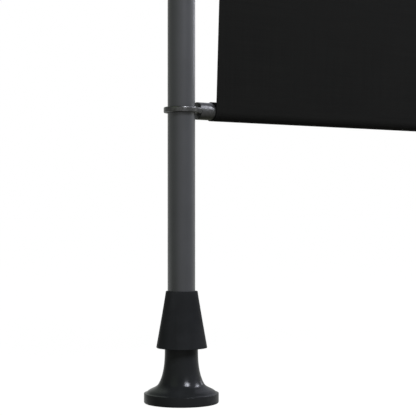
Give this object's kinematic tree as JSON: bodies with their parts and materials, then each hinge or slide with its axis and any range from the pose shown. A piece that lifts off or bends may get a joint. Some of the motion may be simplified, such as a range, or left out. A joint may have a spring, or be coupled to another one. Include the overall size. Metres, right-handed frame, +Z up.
{
  "type": "clamp-pole roller screen",
  "caption": "Roll-up black privacy screen on telescopic poles clamped between floor and ceiling, with a crank-driven roller and a guided bottom bar.",
  "frame": {"origin": "on the floor, midway between the two poles' axes", "axes": "+Z up along the poles, +X along the screen's width, -Y towards the front, where the fabric hangs off the roller"},
  "size_m": [1.3528, 0.1304, 2.4],
  "materials": {
    "powder_coat": "satin dark grey powder coat",
    "cast_metal": "satin grey, lightly speckled",
    "black_rubber": "smooth black moulded rubber, soft gloss",
    "black_plastic": "black moulded plastic",
    "zinc_steel": "zinc plated",
    "nylon": "natural nylon",
    "brass": "brass wheel",
    "black_fabric": "fine plain-weave black screen cloth"
  },
  "bodies": {
    "frame": {"left_lower_tube": "powder_coat", "right_lower_tube": "powder_coat", "left_thrust_washer": "zinc_steel", "right_thrust_washer": "zinc_steel", "left_tube_plug": "nylon", "right_tube_plug": "nylon", "left_lock_collar": "black_plastic", "right_lock_collar": "black_plastic", "left_clamp_front": "cast_metal", "right_clamp_front": "cast_metal", "left_clamp_back": "cast_metal", "right_clamp_back": "cast_metal", "left_outer_bolt": "zinc_steel", "right_outer_bolt": "zinc_steel", "left_inner_bolt": "zinc_steel", "right_inner_bolt": "zinc_steel", "left_outer_nut": "zinc_steel", "right_outer_nut": "zinc_steel", "left_inner_nut": "zinc_steel", "right_inner_nut": "zinc_steel", "left_end_bracket": "powder_coat", "right_end_bracket": "powder_coat", "left_idler_pin": "zinc_steel", "gearbox_housing": "black_plastic", "gearbox_cover": "black_plastic", "fabric_sheet": "black_fabric"},
    "left_foot_nut": {"left_sleeve_nut": "black_plastic"},
    "left_foot": {"left_foot_pad": "black_rubber", "left_foot_spindle": "zinc_steel"},
    "left_upper_pole": {"left_upper_tube": "powder_coat", "left_guide_plug": "nylon", "left_top_plug": "nylon", "left_ceiling_stem": "zinc_steel", "left_ceiling_sleeve": "black_plastic", "left_ceiling_pad": "black_rubber"},
    "left_lock_knob": {"left_lock_knob": "black_plastic"},
    "right_foot_nut": {"right_sleeve_nut": "black_plastic"},
    "right_foot": {"right_foot_pad": "black_rubber", "right_foot_spindle": "zinc_steel"},
    "right_upper_pole": {"right_upper_tube": "powder_coat", "right_guide_plug": "nylon", "right_top_plug": "nylon", "right_ceiling_stem": "zinc_steel", "right_ceiling_sleeve": "black_plastic", "right_ceiling_pad": "black_rubber"},
    "right_lock_knob": {"right_lock_knob": "black_plastic"},
    "bottom_bar": {"bottom_bar_tube": "powder_coat", "fabric_hem": "black_fabric", "left_bar_cap": "cast_metal", "right_bar_cap": "cast_metal", "left_pole_ring": "cast_metal", "right_pole_ring": "cast_metal"},
    "roller": {"roller_tube": "powder_coat", "fabric_roll": "black_fabric", "left_roller_plug": "black_plastic", "right_roller_plug": "black_plastic", "drive_shaft": "zinc_steel", "worm_wheel": "brass"},
    "crank_eye": {"crank_eye": "zinc_steel", "crank_worm": "zinc_steel"}
  },
  "joints": [
    {"name": "left_foot_nut_turn", "type": "hinge", "parent": "frame", "child": "left_foot_nut", "pos_m": [-0.638, 0, 0.086], "axis": [0, 0, 1], "range_deg": [-720, 720]},
    {"name": "left_foot_screw", "type": "slide", "parent": "frame", "child": "left_foot", "axis": [0, 0, -1], "range_m": [-0.01, 0.01]},
    {"name": "left_pole_extension", "type": "slide", "parent": "frame", "child": "left_upper_pole", "axis": [0, 0, 1], "range_m": [-0.34, 0.6]},
    {"name": "left_lock_knob_turn", "type": "hinge", "parent": "frame", "child": "left_lock_knob", "pos_m": [-0.638, 0, 1.918], "axis": [-1, 0, 0], "range_deg": [0, 360]},
    {"name": "right_foot_nut_turn", "type": "hinge", "parent": "frame", "child": "right_foot_nut", "pos_m": [0.638, 0, 0.086], "axis": [0, 0, 1], "range_deg": [-720, 720]},
    {"name": "right_foot_screw", "type": "slide", "parent": "frame", "child": "right_foot", "axis": [0, 0, -1], "range_m": [-0.01, 0.01]},
    {"name": "right_pole_extension", "type": "slide", "parent": "frame", "child": "right_upper_pole", "axis": [0, 0, 1], "range_m": [-0.34, 0.6]},
    {"name": "right_lock_knob_turn", "type": "hinge", "parent": "frame", "child": "right_lock_knob", "pos_m": [0.638, 0, 1.918], "axis": [1, 0, 0], "range_deg": [0, 360]},
    {"name": "bar_lift", "type": "slide", "parent": "frame", "child": "bottom_bar", "axis": [0, 0, 1], "range_m": [0, 1.4137], "deforming": ["fabric_sheet"]},
    {"name": "roller_turn", "type": "hinge", "parent": "frame", "child": "roller", "pos_m": [0, -0.062, 1.8], "axis": [-1, 0, 0], "range_deg": [0, 3600]},
    {"name": "crank_eye_turn", "type": "hinge", "parent": "frame", "child": "crank_eye", "pos_m": [0.622, -0.0803, 1.8], "axis": [0, 0, 1], "range_deg": [0, 18000]}
  ],
  "couplings": [
    {"joint": "left_foot_nut_turn", "follows": "left_foot_screw", "rad_per_m": 1256.6},
    {"joint": "right_foot_nut_turn", "follows": "right_foot_screw", "rad_per_m": 1256.6},
    {"joint": "roller_turn", "follows": "bar_lift", "rad_per_m": 44.444},
    {"joint": "crank_eye_turn", "follows": "bar_lift", "rad_per_m": 222.22}
  ]
}
